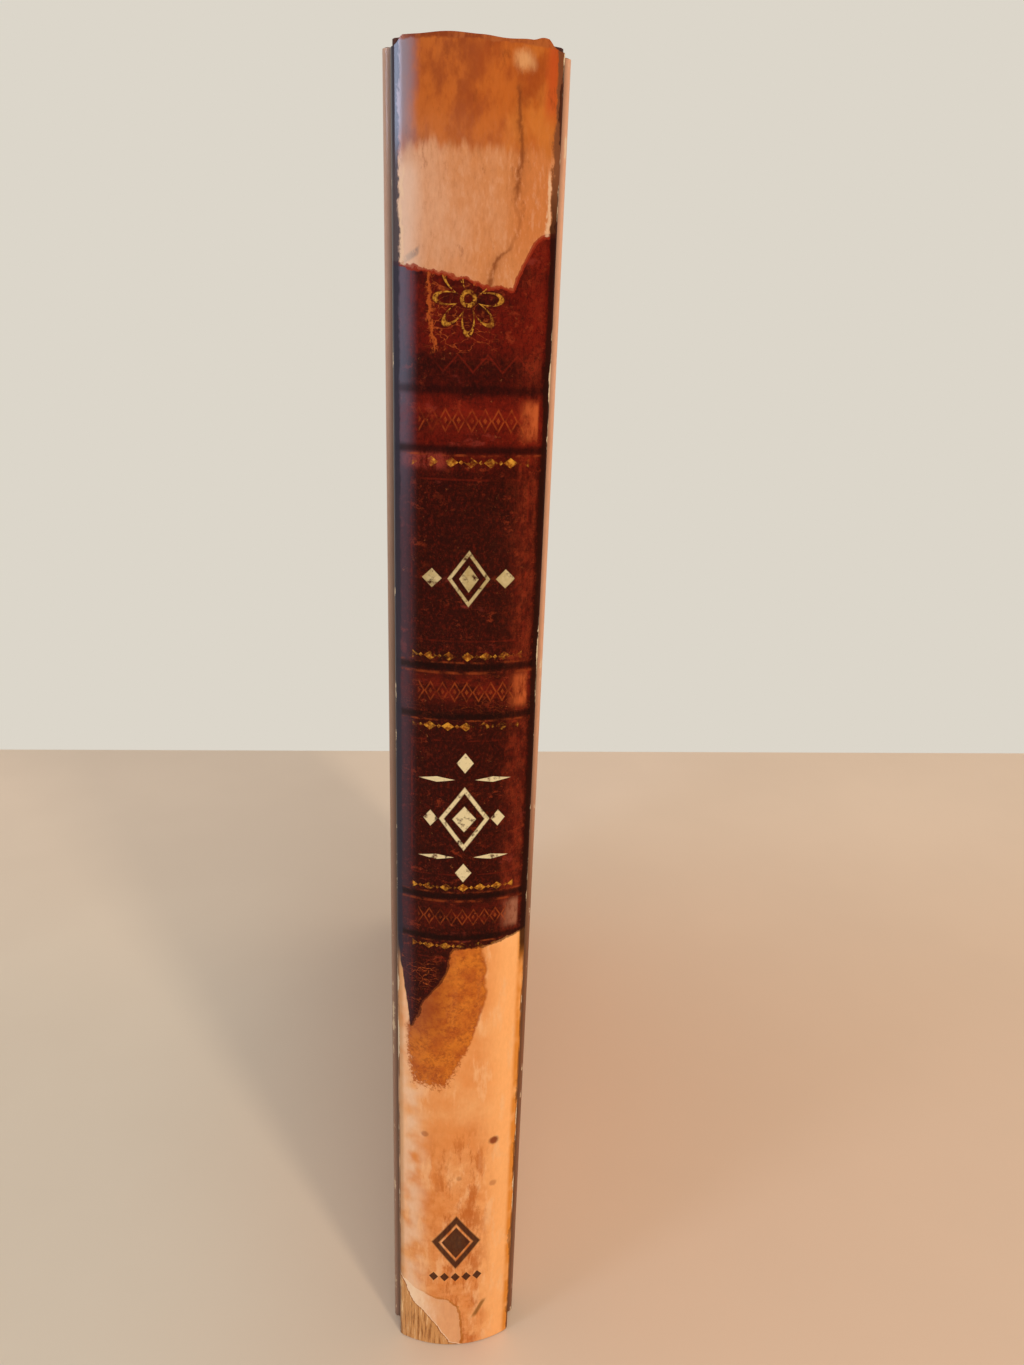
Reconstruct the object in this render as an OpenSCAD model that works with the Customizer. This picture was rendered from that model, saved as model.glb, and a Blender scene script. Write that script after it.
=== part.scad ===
// Hardcover book with a rounded and backed spine, French joints and a loose paper jacket.
// The book stands on its tail. The spine faces -Y and the front board lies on the +X side.
// Depths are counted from the jacket's front at the middle of the spine, and plies from its outside in.

/* [Text block] */
// Height of the leaves
leaf_h = 228.6; // [200:0.1:300]
// Width of the leaves, from the fold to the fore-edge
leaf_w = 152.4; // [100:0.1:220]
// Thickness of the text block
block_t = 17.4; // [8:0.1:60]
// Spread of the backed shoulder on each side
shoulder = 1.85; // [1.4:0.05:4]
// Depth of the hollow that rounding gives the fore-edge
fore_hollow = 2; // [0.5:0.1:4]

/* [Case] */
// Distance that the case stands past the leaves at head, tail and fore-edge
square_w = 3.2; // [1.5:0.1:6]
// Thickness of each board
board_t = 2.4; // [1.5:0.1:4]
// Play between the foot of the shoulder and the board
joint_gap = 0.6; // [0.3:0.1:6]
// Thickness of the paper that covers the case
cover_t = 0.25; // [0.15:0.05:0.6]
// Width of the covering's turn-ins
turn_in = 15; // [8:0.5:25]
// Thickness of the card in the spine
inlay_t = 0.6; // [0.4:0.1:2]
// Rise of the rounded spine above its edges
spine_rise = 3; // [1.5:0.1:6]
// Gap of the hollow back
hollow_t = 0.6; // [0.5:0.1:2]
// Radius of the spine's long edges
spine_edge_r = 1.1; // [0.8:0.1:1.4]

/* [Lining and bands] */
// Thickness of the woven super on the back of the block
super_t = 0.25; // [0.15:0.05:0.3]
// Distance that the super stops short of the leaves at head and tail
super_short = 14; // [13:0.5:30]
// Width of the super's wing on each board
wing_w = 25; // [15:1:40]
// Thickness of the paper liner
liner_t = 0.2; // [0.1:0.05:0.5]
// Distance that the liner stops short of the leaves at head and tail
liner_short = 1; // [0.5:0.5:10]
// Radius of the headband's bead
bead_r = 0.75; // [0.5:0.05:1.2]
// Distance that the bead stands out from its tape
bead_proud = 0.15; // [0.05:0.05:0.2]
// Depth of the headband's tape
tape_h = 12; // [6:0.5:12.5]

/* [Paper] */
// Thickness of the endpapers
sheet_t = 0.15; // [0.1:0.05:0.3]
// Thickness of the jacket
jacket_t = 0.2; // [0.1:0.05:0.4]
// Width of the jacket's flaps
flap_w = 90; // [60:1:98]
// Distance that the jacket stops short of the case at head and tail
jacket_trim = 0.2; // [0:0.1:2]
// Radius of the jacket's folds and of the board's shoulder
fold_r = 0.9; // [0.6:0.1:1.2]

/* [Clearances] */
// Glue line between two plies
glue_t = 0.04; // [0.02:0.01:0.1]
// Air between the free endpaper and the jacket's flap
air_t = 0.1; // [0.05:0.05:0.5]
// Gap between the plies of the spine and of a board where the joint parts them
part_gap = 0.45; // [0.3:0.05:0.5]

/* [Print] */
// Height of the pale field at the head of the printed spine
head_field = 26; // [15:1:40]
// Height of the worn strip within it, along the head
head_worn = 12; // [5:1:14]
// Height of the pale field at the tail
tail_field = 93; // [40:1:100]
// Distance of the lowest printed band from the torn edge below it
band_low = 12; // [8:1:20]
// Distance of the highest printed band from the torn edge above it
band_high = 21; // [10:1:30]
// Number of printed bands
bands = 3; // [2:1:5]
// Height of a printed band
band_h = 7; // [4:0.5:9]
// Height of a gilt rule, and its distance from the band
rule_h = 0.8; // [0.4:0.1:1.5]
// Number of lozenges in a row on each band
lozenges = 5; // [3:1:9]
// Depth of the waves in the jacket's worn head
head_wear = 0.5; // [0.2:0.1:1]

/* [Hidden] */
$fn = 96;

leaf_paper = "#e6dcc3";
board_grey = "#8d8a80";
case_paper = "#5b2f22";
case_end = "#6b3a2a";
end_paper = "#efe7d3";
super_cloth = "#e9e4d2";
liner_paper = "#b58d5f";
band_silk = "#8a2f26";
worn_orange = "#a8612c";
worn_tan = "#c98e5f";
pale_tan = "#dfa46e";
oxblood = "#54241b";
band_brown = "#7c3f22";
gilt = "#b98a4c";
cream = "#e0cf9f";

// Half widths in the spine, from the leaves outwards
leaf_x = block_t / 2;
back_x = leaf_x + shoulder;
inlay_x = back_x + glue_t + super_t;
case_x = inlay_x + glue_t + cover_t;
panel_x = case_x + glue_t + jacket_t;

// Half widths over the boards, from the leaves outwards
fly_x = leaf_x + glue_t + sheet_t;
flap_x = fly_x + air_t;
paste_x = flap_x + jacket_t + glue_t;
turn_x = paste_x + sheet_t + glue_t;
board_x = turn_x + max(cover_t, super_t) + glue_t;
cloth_x = board_x + board_t + glue_t + cover_t;
outer_x = cloth_x + glue_t + jacket_t;

// Radii of the rounded spine, from the jacket inwards; all share the centre at depth spine_r
spine_r = (panel_x * panel_x + spine_rise * spine_rise) / (2 * spine_rise);
case_r = spine_r - jacket_t - glue_t;
inlay_r = case_r - cover_t - glue_t;
hollow_r = inlay_r - inlay_t;
liner_r = hollow_r - hollow_t;
super_r = liner_r - liner_t - glue_t;
block_r = super_r - super_t - glue_t;

// Depths from the front of the spine
back_y = spine_r - sqrt(block_r * block_r - back_x * back_x);
flare_y = back_y + shoulder;
board_y = flare_y + joint_gap;
fold_y = spine_r - block_r + leaf_w;
leaf_y = fold_y + fore_hollow;
case_y = leaf_y + square_w;
depth = case_y + glue_t + jacket_t;
lip_y = board_y - glue_t - cover_t;

// Heights from the tail
case_h = leaf_h + 2 * square_w;
leaf_top = square_w + leaf_h;
wrap = cover_t + glue_t;

// Radii of the plies that lie in the hollow of the shoulder
fly_flare = shoulder - glue_t - sheet_t;
super_flare = fly_flare - glue_t - super_t;
case_flare = super_flare - glue_t - cover_t;
flare_end = 12;
crease_y = flare_y - case_flare;

// Steps of the spine's round, of a folded corner and of a flare
arc_steps = 24;
corner_steps = 6;
flare_steps = 8;
sharp = 20;
over = 1;

function unit(v) = v / norm(v);
function left(v) = [-v[1], v[0]];
function turned(v, a) = [v[0] * cos(a) - v[1] * sin(a), v[0] * sin(a) + v[1] * cos(a)];
function back_to_front(list) = [for (i = [len(list) - 1 : -1 : 0]) list[i]];
function mirrored(list) = [for (p = back_to_front(list)) [-p[0], p[1]]];

// Angle by which an open path turns left at its point i
function turn(path, i) =
    i == 0 || i == len(path) - 1 ? 0 :
    let (a = path[i] - path[i - 1], b = path[i + 1] - path[i])
    atan2(cross(a, b), a * b);

// Largest radius up to r that the two runs of a path leave room for at its point i
function fold_radius(path, i, r) =
    let (run = min(norm(path[i] - path[i - 1]), norm(path[i + 1] - path[i])))
    min(r, 0.9 * run / tan(abs(turn(path, i)) / 2));

// Path moved d to its left, with mitred joints, and with sharp corners rounded to radius r
function ply_edge(path, r, d) = [
    for (i = [0 : len(path) - 1])
        let (
            t = turn(path, i),
            into = unit(path[max(i, 1)] - path[max(i, 1) - 1]),
            corner = path[i] + d * (left(into) - tan(t / 2) * into),
            k = abs(t) < sharp ? 0 : fold_radius(path, i, r) - sign(t) * d
        )
        each k <= 0 ? [corner] : corner_arc(corner, into, t, k)
];

// Points of a rounded corner of radius k, entered along the direction into
function corner_arc(corner, into, t, k) =
    let (start = corner - into * k * tan(abs(t) / 2), centre = start + left(into) * sign(t) * k)
    [for (j = [0 : corner_steps]) centre + turned(start - centre, t * j / corner_steps)];

// One ply of a folded sheet, from d0 to d1 left of the path
module ply(path, r, d0, d1, z0, z1) {
    translate([0, -depth / 2, z0])
        linear_extrude(z1 - z0)
            polygon(concat(ply_edge(path, r, d0), back_to_front(ply_edge(path, r, d1))));
}

// Flat plate between two corners given as half width, depth and height
module plate(low, high) {
    translate([low[0], low[1] - depth / 2, low[2]]) cube(high - low);
}

// Round of the spine at radius r, from -w to w
function spine_arc(r, w) = [
    for (i = [0 : arc_steps])
        let (a = asin(w / r) * (2 * i / arc_steps - 1))
        [r * sin(a), spine_r - r * cos(a)]
];

// Hollow of the right shoulder at radius r from its centre, from the tip to angle stop short of its foot
function flare_arc(r, stop) = [
    for (i = [0 : flare_steps])
        let (a = 270 - (90 - stop) * i / flare_steps)
        [back_x + r * cos(a), flare_y + r * sin(a)]
];

// Outer face of the covering: across the round and into both joints, where it grips the shoulders
case_right = concat([[case_x, crease_y]], flare_arc(case_flare, flare_end));
case_path = concat(mirrored(case_right), spine_arc(case_r, case_x), case_right);

// Outer face of the super: across the back of the block and round both shoulders
super_right = concat([[inlay_x, flare_y - super_flare]], flare_arc(super_flare, flare_end));
super_path = concat(mirrored(super_right), spine_arc(super_r, inlay_x), super_right);

// Outer face of the jacket on the spine
jacket_right = [[panel_x, crease_y]];
jacket_path = concat(mirrored(jacket_right), spine_arc(spine_r, panel_x), jacket_right);

// Outer face of the jacket on the front board: out of the joint, over the board and round its fore-edge
dip_x = panel_x - jacket_t;
cover_path = [
    [dip_x, crease_y + part_gap],
    [outer_x, lip_y - glue_t - jacket_t],
    [outer_x, depth],
    [flap_x, depth],
    [flap_x, depth - flap_w]
];

// Outer face of the covering round the front board, seen from above
case_mid = (lip_y + case_y) / 2;
inside_x = board_x - glue_t - cover_t;
board_path = [
    [inside_x, case_mid],
    [inside_x, lip_y],
    [cloth_x, lip_y],
    [cloth_x, case_y],
    [inside_x, case_y],
    [inside_x, case_mid]
];
board_r = fold_r - jacket_t - glue_t;

// Outer face of the free endpaper: from the shoulder along the block
fly_path = concat(flare_arc(fly_flare, 0), [[fly_x, leaf_y]]);

module text_block() {
    fore_r = (leaf_x * leaf_x + fore_hollow * fore_hollow) / (2 * fore_hollow);
    color(leaf_paper)
        translate([0, -depth / 2, square_w])
            linear_extrude(leaf_h)
                difference() {
                    union() {
                        intersection() {
                            translate([0, spine_r]) circle(block_r);
                            translate([-back_x, 0]) square([2 * back_x, flare_y]);
                        }
                        translate([-leaf_x, flare_y]) square([2 * leaf_x, leaf_y - flare_y]);
                    }
                    for (side = [-1, 1])
                        translate([side * back_x, flare_y]) circle(shoulder);
                    translate([0, fold_y + fore_r]) circle(fore_r);
                }
}

module spine_super() {
    color(super_cloth)
        ply(super_path, super_t, 0, super_t, square_w + super_short, leaf_top - super_short);
}

// Curved sheet behind the round of the spine, from radius r inwards
module back_sheet(r, t, w, z0, z1) {
    translate([0, 0, z0])
        linear_extrude(z1 - z0)
            intersection() {
                difference() {
                    translate([0, spine_r - depth / 2]) circle(r);
                    translate([0, spine_r - depth / 2]) circle(r - t);
                }
                translate([-w, -depth / 2]) square([2 * w, spine_r]);
            }
}

module spine_liner() {
    color(liner_paper)
        back_sheet(liner_r, liner_t, back_x, square_w + liner_short, leaf_top - liner_short);
}

// Woven band at one end of the block: a tape glued to the back, and a bead that lies on the leaves
module end_band(tape_z, bead_z) {
    reach = asin(back_x / super_r);
    color(band_silk) {
        back_sheet(super_r, super_t, back_x, min(tape_z, bead_z), max(tape_z, bead_z));
        translate([0, spine_r - depth / 2, bead_z])
            rotate_extrude(angle = 2 * reach, start = 270 - reach)
                translate([super_r + bead_proud - bead_r, 0]) circle(bead_r, $fn = 32);
    }
}

module headband() {
    end_band(leaf_top - tape_h, leaf_top + glue_t + bead_r);
}

module tailband() {
    end_band(square_w + tape_h, square_w - glue_t - bead_r);
}

module front_flyleaf() {
    color(end_paper) ply(fly_path, 0, 0, sheet_t, square_w, leaf_top);
}

// Card in the spine, with its long edges eased to the covering's folds
module spine_inlay() {
    inside = spine_arc(hollow_r, inlay_x);
    outside = concat([inside[0]], spine_arc(inlay_r, inlay_x), [inside[arc_steps]]);
    color(board_grey)
        translate([0, -depth / 2, wrap])
            linear_extrude(case_h - 2 * wrap)
                polygon(concat(
                    ply_edge(outside, spine_edge_r - wrap, 0),
                    [for (i = [arc_steps - 1 : -1 : 1]) inside[i]]
                ));
}

// Covering on the spine, turned in over the inlay at head and tail
module case_spine() {
    round_path = spine_arc(case_r, inlay_x);
    inner = case_r - hollow_r + glue_t + cover_t;
    color(case_paper) {
        ply(case_path, spine_edge_r, 0, cover_t, 0, case_h);
        for (z = [0, case_h - cover_t])
            ply(round_path, 0, 0, inner, z, z + cover_t);
        for (z = [0, case_h - turn_in])
            ply(round_path, 0, inner - cover_t, inner, z, z + turn_in);
    }
}

// Upright block whose outline lies d inside the covering of the front board
module board_block(d, z0, z1) {
    translate([0, -depth / 2, z0])
        linear_extrude(z1 - z0) polygon(ply_edge(board_path, board_r, d));
}

module front_board() {
    color(board_grey) board_block(wrap, wrap, case_h - wrap);
}

// Covering on the front board, turned in at head, tail and fore-edge
module front_case_cover() {
    color(case_end)
        difference() {
            board_block(0, 0, case_h);
            board_block(cover_t, cover_t, case_h - cover_t);
            plate(
                [inside_x - over, lip_y - over, turn_in],
                [board_x, case_y - turn_in, case_h - turn_in]
            );
        }
}

module front_super_wing() {
    color(super_cloth)
        plate(
            [turn_x, board_y, square_w + super_short],
            [turn_x + super_t, board_y + wing_w, leaf_top - super_short]
        );
}

// Glued half of the endpaper, which fills the window between the turn-ins
module front_pastedown() {
    color(end_paper)
        difference() {
            union() {
                plate([paste_x, board_y, square_w], [paste_x + sheet_t, leaf_y, leaf_top]);
                plate(
                    [paste_x, board_y, turn_in + glue_t],
                    [board_x - glue_t, case_y - turn_in - glue_t, case_h - turn_in - glue_t]
                );
            }
            plate(
                [turn_x - glue_t, board_y - over, square_w + super_short - glue_t],
                [board_x + over, board_y + wing_w + glue_t, leaf_top - super_short + glue_t]
            );
        }
}

module jacket_front() {
    color(worn_tan)
        ply(cover_path, fold_r, 0, jacket_t, jacket_trim, case_h - jacket_trim);
}

// Lines across the printed spine: height at a distance x from its middle
function torn(z, x) = z + 3.2 * sin(9 * x + 70) + 1.6 * sin(29 * x) + 0.7 * sin(83 * x);
function tear_top(x) = torn(case_h - head_field, x);
function tear_low(x) = torn(tail_field, 0.7 * x - 12);
function worn_low(x) = case_h - head_worn + 0.8 * sin(23 * x);
function head_edge(x) = case_h - jacket_trim - head_wear * (1 + sin(19 * x + 60) * sin(7 * x)) / 2;
function tail_edge(x) = jacket_trim;

// Region of the print between a lower and an upper line
print_x = [for (i = [0 : 2 * arc_steps]) (panel_x + over) * (i / arc_steps - 1)];
function region(low, high) =
    concat([for (x = print_x) [x, low(x)]], [for (x = back_to_front(print_x)) [x, high(x)]]);

// Outlines in the plane of the spine, pushed through it
module through_spine() {
    translate([0, crease_y + over - depth / 2, 0])
        rotate([90, 0, 0]) linear_extrude(crease_y + 2 * over) children();
}

// Part of the jacket on the spine that lies behind an outline
module printed(colour) {
    color(colour)
        intersection() {
            ply(jacket_path, spine_edge_r, 0, jacket_t, jacket_trim, case_h - jacket_trim);
            through_spine() children();
        }
}

band_first = tail_field + band_low;
band_last = case_h - head_field - band_high;
band_heights = [for (i = [0 : bands - 1]) band_first + (band_last - band_first) * i / (bands - 1)];

module strip_at(z, h) {
    translate([print_x[0], z - h / 2]) square([-2 * print_x[0], h]);
}

module rules() {
    for (z = band_heights, side = [-1, 1])
        strip_at(z + side * (band_h / 2 + 1.5 * rule_h), rule_h);
}

module lozenge_rows() {
    step = 2 * case_x / (lozenges + 0.5);
    for (z = band_heights, i = [0 : lozenges - 1])
        translate([(i - (lozenges - 1) / 2) * step, z])
            polygon([[-0.42 * step, 0], [0, -0.3 * band_h], [0.42 * step, 0], [0, 0.3 * band_h]]);
}

// Jacket on the spine, with its print as fields of colour
module jacket_spine() {
    printed(pale_tan) polygon(region(function (x) tail_edge(x), function (x) tear_low(x)));
    printed(oxblood)
        difference() {
            polygon(region(function (x) tear_low(x), function (x) tear_top(x)));
            for (z = band_heights) strip_at(z, band_h);
            rules();
        }
    printed(band_brown)
        difference() {
            for (z = band_heights) strip_at(z, band_h);
            lozenge_rows();
        }
    printed(gilt) rules();
    printed(cream) lozenge_rows();
    printed(worn_tan) polygon(region(function (x) tear_top(x), function (x) worn_low(x)));
    printed(worn_orange) polygon(region(function (x) worn_low(x), function (x) head_edge(x)));
}

// Pieces of the back cover mirror those of the front cover
module back_flyleaf() { mirror([1, 0, 0]) front_flyleaf(); }
module back_board() { mirror([1, 0, 0]) front_board(); }
module back_case_cover() { mirror([1, 0, 0]) front_case_cover(); }
module back_super_wing() { mirror([1, 0, 0]) front_super_wing(); }
module back_pastedown() { mirror([1, 0, 0]) front_pastedown(); }
module jacket_back() { mirror([1, 0, 0]) jacket_front(); }

text_block();
spine_super();
spine_liner();
headband();
tailband();
front_flyleaf();
back_flyleaf();
spine_inlay();
case_spine();
jacket_spine();
front_board();
front_case_cover();
front_super_wing();
front_pastedown();
jacket_front();
back_board();
back_case_cover();
back_super_wing();
back_pastedown();
jacket_back();
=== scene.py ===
import math
import random

import bmesh
import bpy
from mathutils import Matrix, Vector


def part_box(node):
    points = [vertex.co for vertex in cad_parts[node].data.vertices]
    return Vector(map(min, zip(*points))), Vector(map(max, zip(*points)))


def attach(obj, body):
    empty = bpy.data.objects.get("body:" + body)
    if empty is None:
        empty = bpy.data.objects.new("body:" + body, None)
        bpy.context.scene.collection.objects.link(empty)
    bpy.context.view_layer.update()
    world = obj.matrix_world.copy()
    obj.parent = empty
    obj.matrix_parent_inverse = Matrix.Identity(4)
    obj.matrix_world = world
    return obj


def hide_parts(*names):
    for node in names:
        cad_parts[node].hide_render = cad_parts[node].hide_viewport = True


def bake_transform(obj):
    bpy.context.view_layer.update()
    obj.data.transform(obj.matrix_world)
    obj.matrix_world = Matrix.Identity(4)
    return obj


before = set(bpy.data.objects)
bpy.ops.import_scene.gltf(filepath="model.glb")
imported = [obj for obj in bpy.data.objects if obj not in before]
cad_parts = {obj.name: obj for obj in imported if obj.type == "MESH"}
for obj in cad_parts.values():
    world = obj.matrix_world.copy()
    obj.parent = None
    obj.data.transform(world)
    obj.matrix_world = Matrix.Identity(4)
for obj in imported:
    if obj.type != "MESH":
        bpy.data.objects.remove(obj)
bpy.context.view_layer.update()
scene = bpy.context.scene
scene.view_settings.view_transform = "Standard"
random.seed(7)
mm = 0.001


def say(words):
    print("book: " + words)


# depths are counted from the jacket's front at the middle of the spine, and all lengths are in mm
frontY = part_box("jacket_spine")[0].y


def lowHigh(node):  # a node's lowest and highest corners as half width, depth and height
    low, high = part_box(node)
    return Vector((low.x, low.y - frontY, low.z)) / mm, Vector((high.x, high.y - frontY, high.z)) / mm


def at(x, depth, z):
    return Vector((x * mm, frontY + depth * mm, z * mm))


# camera, at the photograph's place and angle
cameraLook = dict(x=-4.2, depth=-140.1, z=198.8, lookDown=19.78, turnRight=4.62, tilt=2.1, lens=24.95)


def makeCamera(look):
    data = bpy.data.cameras.new("photoCamera")
    data.sensor_width = 36.0
    data.lens = look["lens"]
    data.clip_start = 0.01
    camera = bpy.data.objects.new("photoCamera", data)
    scene.collection.objects.link(camera)
    turn = Matrix.Rotation(math.radians(-look["turnRight"]), 4, "Z")
    pitch = Matrix.Rotation(math.radians(90 - look["lookDown"]), 4, "X")
    roll = Matrix.Rotation(math.radians(look["tilt"]), 4, "Z")
    place = Matrix.Translation(at(look["x"], look["depth"], look["z"]))
    camera.matrix_world = place @ turn @ pitch @ roll
    scene.camera = camera


makeCamera(cameraLook)
say("camera is in place")


# nodes are drawn into the tree that was started last, noise reads that tree's place in mm, and a colour is
# named in that material's settings or written out
drawing = {}


def tint(code):  # a colour written as on the screen
    parts = [int(code[i:i + 2], 16) / 255 for i in (0, 2, 4)]
    return tuple(p / 12.92 if p < 0.04045 else ((p + 0.055) / 1.055) ** 2.4 for p in parts) + (1.0,)


def feed(socket, value):
    if isinstance(value, bpy.types.NodeSocket):
        drawing["tree"].links.new(value, socket)
    elif isinstance(value, str):
        socket.default_value = tint(drawing["look"].get(value, value))
    elif value is not None:
        socket.default_value = value


def addNode(kind, inputs=(), **settings):  # inputs maps the names or numbers of sockets to values
    node = drawing["tree"].nodes.new("ShaderNode" + kind)
    for title, value in settings.items():
        setattr(node, title, value)
    for title, value in dict(inputs).items():
        feed(node.inputs[title], value)
    return node


def calc(operation, *values):
    return addNode("Math", enumerate(values), operation=operation).outputs[0]


def plus(first, second):
    return calc("ADD", first, second)


def minus(first, second):
    return calc("SUBTRACT", first, second)


def times(first, second):
    return calc("MULTIPLY", first, second)


def timesPlus(value, factor, extra):  # value times factor, plus extra
    return calc("MULTIPLY_ADD", value, factor, extra)


def moved(value, noise, amount):  # value, pushed to and fro by noise
    return timesPlus(minus(noise, 0.5), amount, value)


def gap(value, middle=None):  # distance from the middle, or from nought
    return calc("ABSOLUTE", value if middle is None else minus(value, middle))


def reachOf(u, v):  # length of a step of u and v
    return calc("SQRT", plus(times(u, u), times(v, v)))


def fade(value, start, end):  # smooth step from 0 at start to 1 at end
    inputs = {"Value": value, "From Min": start, "From Max": end}
    return addNode("MapRange", inputs, interpolation_type="SMOOTHSTEP").outputs["Result"]


def nearTo(value, middle, start, end):
    return fade(gap(value, middle), start, end)


def both(*masks):
    out = masks[0]
    for mask in masks[1:]:
        out = times(out, mask)
    return out


def either(*masks):
    out = masks[0]
    for mask in masks[1:]:
        out = calc("MAXIMUM", out, mask)
    return out


def layer(under, over, *masks):  # a colour laid over another where all masks are on
    return addNode("Mix", {0: both(*masks), 6: under, 7: over}, data_type="RGBA").outputs[2]


class Paint:  # a colour, and the layers that are painted over it
    def __init__(self, colour):
        self.colour = colour

    def __call__(self, over, *masks):
        self.colour = layer(self.colour, over, *masks)
        return self.colour


def stretched(*factors):
    return addNode("VectorMath", {0: drawing["where"], 1: factors}, operation="MULTIPLY").outputs[0]


def cloud(scale, detail=3.0, rough=0.55, seed=0.0, stretch=None):
    where = stretched(*stretch) if stretch else drawing["where"]
    inputs = {"Vector": where, "Scale": scale, "W": seed, "Detail": detail, "Roughness": rough}
    return addNode("TexNoise", inputs, noise_dimensions="4D").outputs["Fac"]


def startGroup(name, gives, withPlace=False, **takes):  # a group that reads a place, if asked, and numbers
    group = bpy.data.node_groups.new(name, "ShaderNodeTree")
    if withPlace:
        group.interface.new_socket(name="Where", in_out="INPUT", socket_type="NodeSocketVector")
    for title, value in takes.items():
        socket = group.interface.new_socket(name=title, in_out="INPUT", socket_type="NodeSocketFloat")
        socket.default_value = value
    for title in gives:
        group.interface.new_socket(name=title, in_out="OUTPUT", socket_type="NodeSocketFloat")
    inside = group.nodes.new("NodeGroupInput").outputs
    drawing.update(tree=group, where=inside["Where"] if withPlace else None)
    return group, inside, group.nodes.new("NodeGroupOutput").inputs


def place(group, **values):  # puts a group in a tree and returns its outputs
    node = addNode("Group", node_tree=group)
    if "Where" in node.inputs:
        values = {"Where": drawing["where"], **values}
    for title, value in values.items():
        feed(node.inputs[title], value)
    return node.outputs


def makePaperGrain():  # fibres and mottling of paper
    group, takes, gives = startGroup("paperGrain", ("Grain", "Blotch"), True, Fibre=3, Mottle=0.15)
    fine = cloud(takes["Fibre"], 4, 0.65, stretch=(1, 1, 0.35))
    wide = cloud(takes["Mottle"], 4, 0.6, 3.1)
    feed(gives["Grain"], fade(fine, 0.3, 0.72))
    feed(gives["Blotch"], fade(wide, 0.34, 0.68))
    return group


lineHalf = 13  # a line drawn through points runs this far to each side


def lineHeight(x, points):  # height of a line drawn through points, at x
    low = min(z for x_, z in points)
    span = max(z for x_, z in points) - low
    node = addNode("FloatCurve", {"Value": calc("DIVIDE", plus(x, lineHalf), 2 * lineHalf)})
    curve = node.mapping.curves[0]
    for number, (px, pz) in enumerate(points):
        spot = ((px + lineHalf) / (2 * lineHalf), (pz - low) / span)
        if number in (0, len(points) - 1):
            curve.points[0 if number == 0 else -1].location = spot
        else:
            curve.points.new(*spot)
    for point in curve.points:
        point.handle_type = "VECTOR"
    node.mapping.update()
    return timesPlus(node.outputs[0], span, low)


def makeTornEdge(name, points):  # 1 above a ragged line drawn through points; Rim runs along it
    group, takes, gives = startGroup(name, ("Above", "Rim"), True, X=0, Z=0, Ragged=1, Width=0.4, Seed=0)
    ragged = takes["Ragged"]
    wave = minus(cloud(0.35, 3, 0.6, takes["Seed"]), 0.5)
    nick = minus(cloud(1.6, 4, 0.7, takes["Seed"]), 0.5)
    push = timesPlus(wave, 2.6, times(nick, 1.1))
    x = timesPlus(push, ragged, takes["X"])
    z = timesPlus(push, ragged, takes["Z"])
    sides = []
    for move, lift in ((0, 0), (1, 0), (-1, 0), (0, 1), (0, -1)):
        line = lineHeight(timesPlus(takes["Width"], move, x), points)
        distance = timesPlus(takes["Width"], lift, minus(z, line))
        sides.append(fade(distance, -0.08, 0.08))
    feed(gives["Above"], sides[0])
    least = sides[1]
    for side in sides[2:]:
        least = calc("MINIMUM", least, side)
    feed(gives["Rim"], minus(either(*sides[1:]), least))
    return group


def makeFoldWear():  # chips along a fold; Distance is counted from the fold
    takes = dict(Distance=0, Reach=0.8, Amount=0.5, Chip=0.7, Seed=0)
    group, takes, gives = startGroup("foldWear", ("Chips",), True, **takes)
    speck = cloud(takes["Chip"], 5, 0.7, takes["Seed"], (1, 1, 0.45))
    patch = cloud(0.09, 2, 0.5, takes["Seed"])
    near = fade(takes["Distance"], takes["Reach"], 0)
    level = timesPlus(near, 0.35, timesPlus(speck, 0.7, patch))
    line = minus(1.42, times(takes["Amount"], 0.4))
    top = plus(line, 0.05)
    feed(gives["Chips"], both(fade(level, line, top), fade(near, 0, 0.2)))
    return group


def makeCracks():  # net of fine cracks in old leather
    group, takes, gives = startGroup("cracks", ("Crack",), True, Scale=0.5, Width=0.05, Seed=0)
    bend = addNode("TexNoise", {"Vector": takes["Where"], "Scale": 0.6, "Detail": 3.0})
    inputs = {0: bend.outputs["Color"], 1: (2.2, 2.2, 2.2), 2: takes["Where"]}
    bent = addNode("VectorMath", inputs, operation="MULTIPLY_ADD").outputs[0]
    inputs = {"Vector": bent, "Scale": takes["Scale"]}
    cell = addNode("TexVoronoi", inputs, voronoi_dimensions="4D", feature="DISTANCE_TO_EDGE")
    feed(cell.inputs["W"], takes["Seed"])
    feed(gives["Crack"], fade(cell.outputs["Distance"], takes["Width"], 0))
    return group


def makeLozenge():  # filled lozenge and its outline
    takes = dict(X=0, Z=0, AtX=0, AtZ=0, HalfWidth=1, HalfHeight=1, Line=0.2)
    group, takes, gives = startGroup("lozenge", ("Fill", "Outline"), **takes)
    across = gap(takes["X"], takes["AtX"])
    up = gap(takes["Z"], takes["AtZ"])
    across = calc("DIVIDE", across, takes["HalfWidth"])
    edge = plus(across, calc("DIVIDE", up, takes["HalfHeight"]))
    feed(gives["Fill"], fade(edge, 1.04, 0.94))
    ring = gap(edge, 0.86)
    feed(gives["Outline"], fade(ring, takes["Line"], times(takes["Line"], 0.5)))
    return group


def makeWeave():  # plain weave of threads
    group, takes, gives = startGroup("weave", ("Thread", "Hole"), X=0, Z=0, Threads=1.6)
    turns = times(takes["Threads"], 2 * math.pi)
    across = gap(calc("SINE", times(takes["X"], turns)))
    up = gap(calc("SINE", times(takes["Z"], turns)))
    feed(gives["Thread"], calc("MAXIMUM", across, up))
    feed(gives["Hole"], fade(calc("MAXIMUM", across, up), 0.5, 0.2))
    return group


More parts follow.
